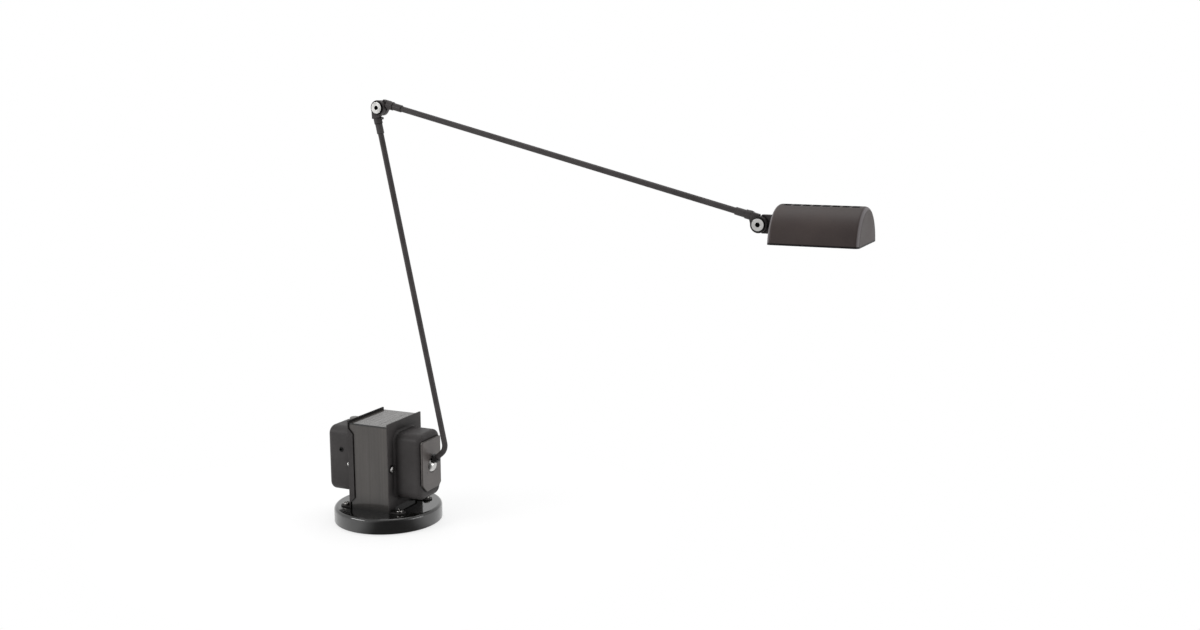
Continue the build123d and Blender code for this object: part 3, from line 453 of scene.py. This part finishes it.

# the reflector takes painted shade far into the head
reflectorLook = {
    "dark": tone(196, 196, 192), "light": tone(226, 226, 222), "mark": tone(180, 180, 176),
    "markScale": 260.0, "markStretch": (1.0, 10.0, 10.0), "markShare": 0.3, "markHeight": 0.00002,
    "patchScale": 60.0, "glossLow": 0.22, "glossHigh": 0.32, "anisotropy": 0.3, "edgeRadius": 0.0004,
    "crease": tone(14, 13, 13), "creaseReach": 0.008, "creaseShare": 1.0,
}
paintNodes(metalFinish("satinReflector", reflectorLook), "reflector")
print("metal pieces done")

nylonLook = {
    "mottleScale": 90.0, "grainScale": 1300.0, "dark": tone(206, 200, 184), "light": tone(222, 217, 202),
    "glossLow": 0.4, "glossHigh": 0.52, "grainHeight": 0.00002, "edgeRadius": 0.0003,
    "specular": 0.5, "glow": 0.1,
}
paintNodes(mouldedFinish("naturalNylon", nylonLook), "coil_bobbin", "lower_sleeve", "upper_sleeve",
           "elbow_front_bush", "elbow_back_bush", "head_front_bush", "head_back_bush", "ball_cup")

casingLook = {
    "mottleScale": 70.0, "grainScale": 1500.0, "dark": tone(22, 22, 23), "light": tone(34, 33, 34),
    "glossLow": 0.4, "glossHigh": 0.55, "grainHeight": 0.00003, "edgeRadius": 0.0004,
    "specular": 0.5, "glow": 0.0,
}
paintNodes(mouldedFinish("darkMoulding", casingLook), "switch_body", "terminal_block", "inner_leads")

knobLook = {
    "mottleScale": 110.0, "grainScale": 1700.0, "dark": tone(84, 83, 81), "light": tone(100, 99, 96),
    "glossLow": 0.34, "glossHigh": 0.46, "grainHeight": 0.00002, "edgeRadius": 0.0005,
    "specular": 0.5, "glow": 0.05,
}
paintNodes(mouldedFinish("knobGrey", knobLook), "switch_button")

rubberLook = {
    "mottleScale": 60.0, "grainScale": 900.0, "dark": tone(20, 20, 20), "light": tone(30, 30, 30),
    "glossLow": 0.7, "glossHigh": 0.88, "grainHeight": 0.00008, "edgeRadius": 0.0005,
    "specular": 0.3, "glow": 0.0,
}
paintNodes(mouldedFinish("blackRubber", rubberLook), "base_pad", "cable_inlet")

steatiteLook = {
    "mottleScale": 130.0, "grainScale": 2200.0, "dark": tone(206, 201, 188), "light": tone(226, 222, 212),
    "glossLow": 0.6, "glossHigh": 0.75, "grainHeight": 0.00005, "edgeRadius": 0.0005,
    "specular": 0.4, "glow": 0.05,
}
paintNodes(mouldedFinish("steatite", steatiteLook), "lamp_holder")
print("moulded pieces done")

# windings: enamelled wire, fine on the primary and thick on the secondary
wireLook = {
    "metallic": 0.85, "coat": 0.6, "coatRoughness": 0.2, "glossLow": 0.28, "glossHigh": 0.4,
    "gapFull": 0.05, "gapGone": 0.5, "relief": 0.4, "reliefStrength": 0.8,
}
primaryLook = {
    **wireLook, "wire": 0.0005, "patchScale": 70.0,
    "dark": tone(120, 58, 30), "light": tone(160, 84, 44), "gap": tone(40, 18, 10),
}
secondaryLook = {
    **wireLook, "wire": 0.0016, "patchScale": 60.0,
    "dark": tone(136, 72, 38), "light": tone(178, 98, 54), "gap": tone(44, 20, 12),
}


def windingFinish(name, look):
    # wire wound round the core's middle limb, one turn beside the next along Y, with painted shade in the
    # grooves
    material, tree, shader, place = newMaterial(name, {"Metallic": look["metallic"],
                                                       "Coat Weight": look["coat"],
                                                       "Coat Roughness": look["coatRoughness"]})
    phase = times(tree, axesOf(tree, place)["Y"], math.pi / look["wire"])
    rounded = reckon(tree, "ABSOLUTE", reckon(tree, "SINE", phase))
    patches = noiseAt(tree, place, look["patchScale"])
    enamel = blendColours(tree, spread(tree, patches, 0.0, 1.0), look["dark"], look["light"])
    onWire = spread(tree, rounded, 0.0, 1.0, look["gapFull"], look["gapGone"])
    tree.links.new(blendColours(tree, onWire, look["gap"], enamel), shader.inputs["Base Color"])
    tree.links.new(spread(tree, patches, look["glossLow"], look["glossHigh"]), shader.inputs["Roughness"])
    tree.links.new(bumped(tree, rounded, look["wire"] * look["relief"], look["reliefStrength"]),
                   shader.inputs["Normal"])
    return material


paintNodes(windingFinish("fineWire", primaryLook), "primary_winding")
paintNodes(windingFinish("thickWire", secondaryLook), "secondary_winding")

# bulb: a quartz capsule
quartzLook = {
    "ior": 1.46, "hazeScale": 160.0, "hazeLow": 0.01, "hazeHigh": 0.06,
    "clear": tone(252, 252, 252), "tint": tone(238, 240, 242),
}


def glassFinish(name, look):
    material, tree, shader, place = newMaterial(name, {"Transmission Weight": 1.0, "IOR": look["ior"]})
    haze = noiseAt(tree, place, look["hazeScale"])
    tree.links.new(blendColours(tree, spread(tree, haze, 0.0, 1.0), look["clear"], look["tint"]),
                   shader.inputs["Base Color"])
    tree.links.new(spread(tree, haze, look["hazeLow"], look["hazeHigh"]), shader.inputs["Roughness"])
    return material


paintNodes(glassFinish("quartz", quartzLook), "bulb_capsule")
print("windings and bulb done")


def newTree(name, sizes):
    # an empty geometry tree with one named input for each size
    tree = bpy.data.node_groups.new(name, "GeometryNodeTree")
    tree.interface.new_socket("Geometry", in_out="OUTPUT", socket_type="NodeSocketGeometry")
    kinds = {"int": "NodeSocketInt", "float": "NodeSocketFloat", "Object": "NodeSocketObject",
             "Material": "NodeSocketMaterial"}
    for key, value in sizes.items():
        tree.interface.new_socket(key, in_out="INPUT", socket_type=kinds[type(value).__name__])
    return tree, tree.nodes.new("NodeGroupInput").outputs, tree.nodes.new("NodeGroupOutput").inputs


def finishTree(tree, geometry, finish, result):
    # makes the copies real, gives them their material and hands them out
    real = addNode(tree, "GeometryNodeRealizeInstances", {"Geometry": geometry})
    dressed = addNode(tree, "GeometryNodeSetMaterial", {"Geometry": real.outputs["Geometry"],
                                                        "Material": finish})
    tree.links.new(dressed.outputs["Geometry"], result["Geometry"])
    return tree


def growMesh(name, tree, sizes):
    # runs a geometry tree once and keeps its result as a plain mesh at the origin
    carrier = bpy.data.objects.new(name + "Carrier", bpy.data.meshes.new(name + "Carrier"))
    bpy.context.scene.collection.objects.link(carrier)
    modifier = carrier.modifiers.new("grow", "NODES")
    modifier.node_group = tree
    for item in tree.interface.items_tree:
        if item.item_type == "SOCKET" and item.in_out == "INPUT":
            modifier[item.identifier] = sizes[item.name]
    bpy.context.view_layer.update()
    grown = carrier.evaluated_get(bpy.context.evaluated_depsgraph_get())
    mesh = bpy.data.meshes.new_from_object(grown)
    mesh.name = name
    piece = bpy.data.objects.new(name, mesh)
    bpy.context.scene.collection.objects.link(piece)
    bpy.data.objects.remove(carrier)
    return piece


# core: sheets under varnish stacked along X, with a dark line along the top front edge and painted shade
# near the disc and the bells
lowE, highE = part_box("core_e_stack")
lowI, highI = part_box("core_i_stack")
coreLook = {
    "sheet": 0.0005, "insetShare": 0.0016, "seed": 7, "relief": 0.00006, "reliefStrength": 0.5,
    "specular": 0.1, "metallic": 0.0, "coat": 1.0, "coatRoughness": 0.12,
    "bundleScale": 520.0, "bundleStretch": (1.0, 0.03, 0.03), "bundleShare": 0.2,
    "stainScale": 45.0, "stainStretch": (1.0, 1.0, 0.4), "stainShare": 0.4,
    "stainFrom": 0.45, "stainTo": 0.75,
    "dark": tone(57, 53, 50), "light": tone(64, 60, 57), "scuffed": tone(80, 75, 71),
    "varnish": tone(46, 43, 41),
    "glossLow": 0.34, "glossHigh": 0.5, "crease": tone(5, 5, 5), "creaseReach": 0.02, "creaseShare": 0.95,
    "topEdge": (0.0, min(lowE[1], lowI[1]), highE[2]), "edgeLineWidth": 0.0022, "edgeLineShare": 0.9,
}


def laminationFinish(name, look):
    # the edges of thin sheets under varnish, each a little lighter or darker than the next,
    # with a dark line along the top front edge and painted shade in creases
    material, tree, shader, place = newMaterial(name, {"Specular IOR Level": look["specular"],
                                                       "Metallic": look["metallic"],
                                                       "Coat Weight": look["coat"],
                                                       "Coat Roughness": look["coatRoughness"]})
    index = reckon(tree, "FLOOR", reckon(tree, "DIVIDE", axesOf(tree, place)["X"], look["sheet"]))
    single = addNode(tree, "ShaderNodeTexWhiteNoise", {"W": index}, noise_dimensions="1D").outputs["Value"]
    bundle = noiseAt(tree, place, look["bundleScale"], detail=4.0, stretch=look["bundleStretch"])
    stain = noiseAt(tree, place, look["stainScale"], detail=4.0, stretch=look["stainStretch"])
    sheets = blendColours(tree, single, look["dark"], look["light"])
    bundled = blendColours(tree, spread(tree, bundle, 0.0, look["bundleShare"]), sheets, look["scuffed"])
    stainShare = spread(tree, stain, 0.0, look["stainShare"], look["stainFrom"], look["stainTo"])
    stained = blendColours(tree, stainShare, bundled, look["varnish"])
    # a dark line along the top front edge
    fromEdge = distanceAcross(tree, place, look["topEdge"], (0, 1, 1))
    edgeLine = spread(tree, fromEdge, look["edgeLineShare"], 0.0, look["edgeLineWidth"] / 2, look["edgeLineWidth"])
    edgeLined = blendColours(tree, edgeLine, stained, look["crease"])
    tree.links.new(creased(tree, edgeLined, look), shader.inputs["Base Color"])
    tree.links.new(spread(tree, single, look["glossLow"], look["glossHigh"], 0.0, 1.0),
                   shader.inputs["Roughness"])
    tree.links.new(bumped(tree, single, look["relief"], look["reliefStrength"]), shader.inputs["Normal"])
    return material


def sheetTree(sizes):
    # one sheet, repeated face to face along X, each shrunk by a hair so that its edge shows
    tree, given, result = newTree("sheetStack", sizes)
    line = addNode(tree, "GeometryNodeMeshLine", {"Count": given["Count"]})
    step = addNode(tree, "ShaderNodeCombineXYZ", {"X": given["Pitch"]})
    tree.links.new(step.outputs[0], line.inputs["Offset"])
    least = reckon(tree, "SUBTRACT", 1.0, given["Inset share"])
    drawn = addNode(tree, "FunctionNodeRandomValue", {"Min": least, "Max": 1.0, "Seed": given["Seed"]},
                    data_type="FLOAT").outputs["Value"]
    size = addNode(tree, "ShaderNodeCombineXYZ", {"X": 1.0, "Y": drawn, "Z": drawn})
    pattern = addNode(tree, "GeometryNodeObjectInfo", {"Object": given["Sheet"]}, transform_space="ORIGINAL")
    copies = addNode(tree, "GeometryNodeInstanceOnPoints",
                     {"Points": line.outputs["Mesh"], "Instance": pattern.outputs["Geometry"],
                      "Scale": size.outputs[0]})
    return finishTree(tree, copies.outputs["Instances"], given["Finish"], result)


def sheetPattern(name, outline, thickness):
    # one sheet, cut to an outline of (y, z) corners
    build = bmesh.new()
    face = build.faces.new([build.verts.new((0, y, z)) for y, z in outline])
    grown = bmesh.ops.extrude_face_region(build, geom=[face])
    moved = [item for item in grown["geom"] if isinstance(item, bmesh.types.BMVert)]
    bmesh.ops.translate(build, verts=moved, vec=(thickness, 0, 0))
    bmesh.ops.recalc_face_normals(build, faces=build.faces)
    mesh = bpy.data.meshes.new(name)
    build.to_mesh(mesh)
    build.free()
    pattern = bpy.data.objects.new(name, mesh)
    bpy.context.scene.collection.objects.link(pattern)
    return pattern


def stackSheets(name, node, outline, finish):
    # outline: the sheet's corners about the middle of the CAD node
    low, high = map(Vector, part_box(node))
    middle = (low + high) / 2
    count = round((high.x - low.x) / coreLook["sheet"])
    pitch = (high.x - low.x) / count
    pattern = sheetPattern(name + "Pattern", outline, pitch)
    sizes = {"Count": count, "Pitch": pitch, "Inset share": coreLook["insetShare"], "Seed": coreLook["seed"],
             "Sheet": pattern, "Finish": finish}
    piece = growMesh(name, sheetTree(sizes), sizes)
    for vertex in piece.data.vertices:
        vertex.co += Vector((low.x, middle.y, middle.z))
    bpy.data.objects.remove(pattern)
    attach(piece, "base")
    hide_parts(node)


def rectangle(depth, height):
    back, top = depth / 2, height / 2
    return [(-back, -top), (back, -top), (back, top), (-back, top)]


def letterE(depth, height):
    # back bar at +Y, three limbs that reach to -Y; the limbs' thicknesses are sixths of the height
    limb = height / 6
    back, front = depth / 2, -depth / 2
    inner = back - limb
    levels = [-3 * limb, -2 * limb, -limb, limb, 2 * limb, 3 * limb]
    return [(back, levels[0]), (back, levels[5]), (front, levels[5]), (front, levels[4]), (inner, levels[4]),
            (inner, levels[3]), (front, levels[3]), (front, levels[2]), (inner, levels[2]),
            (inner, levels[1]), (front, levels[1]), (front, levels[0])]


coreFinish = laminationFinish("coreSheets", coreLook)
stackSheets("coreSheetsE", "core_e_stack", letterE(highE[1] - lowE[1], highE[2] - lowE[2]), coreFinish)
stackSheets("coreSheetsI", "core_i_stack", rectangle(highI[1] - lowI[1], highI[2] - lowI[2]), coreFinish)
print("core sheets done")

# filament: a coil of fine tungsten wire
filamentLook = {
    "turns": 9.0, "wireRadius": 0.00012, "stepsPerTurn": 14, "wireSides": 8,
    "dark": tone(96, 94, 92), "light": tone(128, 126, 122), "mark": tone(70, 68, 66),
    "markScale": 900.0, "markStretch": (1.0, 1.0, 1.0), "markShare": 0.4, "markHeight": 0.00001,
    "patchScale": 300.0, "glossLow": 0.35, "glossHigh": 0.5, "anisotropy": 0.0, "edgeRadius": 0.00005,
}


def coilTree(sizes):
    # a round wire swept along a spiral that stands on the origin
    tree, given, result = newTree("wireCoil", sizes)
    spiral = addNode(tree, "GeometryNodeCurveSpiral",
                     {"Resolution": given["Steps per turn"], "Rotations": given["Turns"],
                      "Start Radius": given["Radius"], "End Radius": given["Radius"],
                      "Height": given["Length"]})
    profile = addNode(tree, "GeometryNodeCurvePrimitiveCircle",
                      {"Resolution": given["Wire sides"], "Radius": given["Wire radius"]})
    wire = addNode(tree, "GeometryNodeCurveToMesh",
                   {"Curve": spiral.outputs["Curve"], "Profile Curve": profile.outputs["Curve"],
                    "Fill Caps": True})
    return finishTree(tree, wire.outputs["Mesh"], given["Finish"], result)


def windFilament(look):
    # a coil as wide and as long as the CAD node's box
    low, high = map(Vector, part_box("bulb_filament"))
    middle = (low + high) / 2
    sizes = {"Turns": look["turns"], "Steps per turn": look["stepsPerTurn"], "Wire sides": look["wireSides"],
             "Radius": (high.x - low.x) / 2 - look["wireRadius"], "Wire radius": look["wireRadius"],
             "Length": high.y - low.y - 2 * look["wireRadius"], "Finish": metalFinish("tungsten", look)}
    piece = growMesh("filamentCoil", coilTree(sizes), sizes)
    for vertex in piece.data.vertices:  # the spiral stands along Z from the origin; lay it along Y
        x, y, z = vertex.co
        vertex.co = middle + Vector((x, z - sizes["Length"] / 2, -y))
    for polygon in piece.data.polygons:
        polygon.use_smooth = True
    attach(piece, "head")
    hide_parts("bulb_filament")


windFilament(filamentLook)
print("filament done")

# room: a pale floor that shows white, a white backdrop with one unlit side, and soft lamps
white = (1.0, 1.0, 1.0, 1.0)
roomLook = {
    "floor": tone(244, 244, 244), "floorSize": 12.0, "floorGap": 0.0001,
    "floorRoughness": 0.9, "floorSpecular": 0.1, "paperScale": 9.0, "paperShare": 0.03,
    "floorShade": 0.30, "shadeNear": 0.10, "shadeFar": 0.30,
    "skyShare": 0.85, "darkSide": (0.64, -0.76, 0.10), "darkShare": 0.10, "darkFrom": 0.66, "darkTo": 0.90,
}


def darkness(tree, vector, least, most):
    # from least to most as a direction, or the direction of a place, turns to the unlit side of the room
    direction = vectorNode(tree, "NORMALIZE", vector)[0]
    facing = vectorNode(tree, "DOT_PRODUCT", direction, roomLook["darkSide"])["Value"]
    return spread(tree, facing, least, most, roomLook["darkFrom"], roomLook["darkTo"])


def makeFloor():
    # seen directly or in a gloss the floor glows white, but for a share of paint near its middle, where the
    # object's shadow falls
    half = roomLook["floorSize"] / 2
    mesh = bpy.data.meshes.new("floor")
    mesh.from_pydata([(-half, -half, 0), (half, -half, 0), (half, half, 0), (-half, half, 0)], [],
                     [(0, 1, 2, 3)])
    floor = bpy.data.objects.new("floor", mesh)
    bpy.context.scene.collection.objects.link(floor)
    floor.location.z = cadBox[0].z - roomLook["floorGap"]
    material, tree, shader, place = newMaterial("floorPaint",
                                                {"Roughness": roomLook["floorRoughness"],
                                                 "Specular IOR Level": roomLook["floorSpecular"]})
    paper = noiseAt(tree, place, roomLook["paperScale"], detail=2.0)
    pale = blendColours(tree, spread(tree, paper, 0.0, roomLook["paperShare"]), roomLook["floor"], white)
    tree.links.new(pale, shader.inputs["Base Color"])
    seen = addNode(tree, "ShaderNodeLightPath").outputs
    direct = reckon(tree, "MAXIMUM", seen["Is Camera Ray"], seen["Is Transmission Ray"])
    distance = vectorNode(tree, "LENGTH", place)["Value"]
    shade = spread(tree, distance, roomLook["floorShade"], 0.0, roomLook["shadeNear"], roomLook["shadeFar"])
    share = reckon(tree, "MAXIMUM", times(tree, direct, reckon(tree, "SUBTRACT", 1.0, shade)),
                   seen["Is Glossy Ray"])
    loss = times(tree, darkness(tree, place, 0.0, 1.0 - roomLook["darkShare"]), seen["Is Glossy Ray"])
    glow = addNode(tree, "ShaderNodeEmission",
                   {"Color": white, "Strength": reckon(tree, "SUBTRACT", 1.0, loss)})
    mix = addNode(tree, "ShaderNodeMixShader", {0: share, 1: shader.outputs[0], 2: glow.outputs[0]})
    tree.links.new(mix.outputs[0], tree.nodes["Material Output"].inputs["Surface"])
    mesh.materials.append(material)


def makeWorld():
    # white where it is seen directly; the light it sends fades towards the unlit side
    world = bpy.data.worlds.new("studio")
    world.use_nodes = True
    tree = world.node_tree
    plain = tree.nodes["Background"]
    plain.inputs["Color"].default_value = white
    direction = addNode(tree, "ShaderNodeTexCoord").outputs["Generated"]
    tree.links.new(darkness(tree, direction, roomLook["skyShare"], roomLook["darkShare"]),
                   plain.inputs["Strength"])
    backdrop = addNode(tree, "ShaderNodeBackground", {"Color": white, "Strength": 1.0})
    seen = addNode(tree, "ShaderNodeLightPath").outputs
    direct = reckon(tree, "MAXIMUM", seen["Is Camera Ray"], seen["Is Transmission Ray"])
    mix = addNode(tree, "ShaderNodeMixShader", {0: direct, 1: plain.outputs[0], 2: backdrop.outputs[0]})
    tree.links.new(mix.outputs[0], tree.nodes["World Output"].inputs["Surface"])
    bpy.context.scene.world = world


lampLook = {
    "keyLamp": {"place": (-0.9, -1.1, 0.85), "aim": (0.1, 0.0, 0.15), "wide": 0.9, "tall": 0.3, "power": 8.5},
    "sideLamp": {"place": (1.6, 0.1, 0.3), "aim": (0.2, 0.0, 0.15), "wide": 0.8, "tall": 0.3, "power": 3.6},
    "topLamp": {"place": (0.15, 0.3, 1.6), "aim": (0.2, 0.0, 0.2), "wide": 1.0, "tall": 1.0, "power": 8.0},
}


def turnedTo(facing):
    return Vector(facing).to_track_quat("-Z", "Y").to_euler()


def makeLamps():
    for name, look in lampLook.items():
        light = bpy.data.lights.new(name, "AREA")
        light.shape = "RECTANGLE"
        light.size = look["wide"]
        light.size_y = look["tall"]
        light.energy = look["power"]
        lamp = bpy.data.objects.new(name, light)
        bpy.context.scene.collection.objects.link(lamp)
        lamp.location = look["place"]
        lamp.rotation_euler = turnedTo(Vector(look["aim"]) - Vector(look["place"]))


cameraLook = {
    "place": (0.70927, -1.06052, 0.42626), "facing": (-0.3999, 0.9011, -0.1676),
    "lens": 38.04, "sensor": 36.0, "nearest": 0.01,
}


def makeCamera():
    camera = bpy.data.objects.new("camera", bpy.data.cameras.new("camera"))
    bpy.context.scene.collection.objects.link(camera)
    camera.location = cameraLook["place"]
    camera.rotation_euler = turnedTo(cameraLook["facing"])
    camera.data.lens = cameraLook["lens"]
    camera.data.sensor_width = cameraLook["sensor"]
    camera.data.clip_start = cameraLook["nearest"]
    bpy.context.scene.camera = camera


makeFloor()
makeWorld()
makeLamps()
makeCamera()
bpy.context.scene.view_settings.view_transform = "Standard"
print("room done")
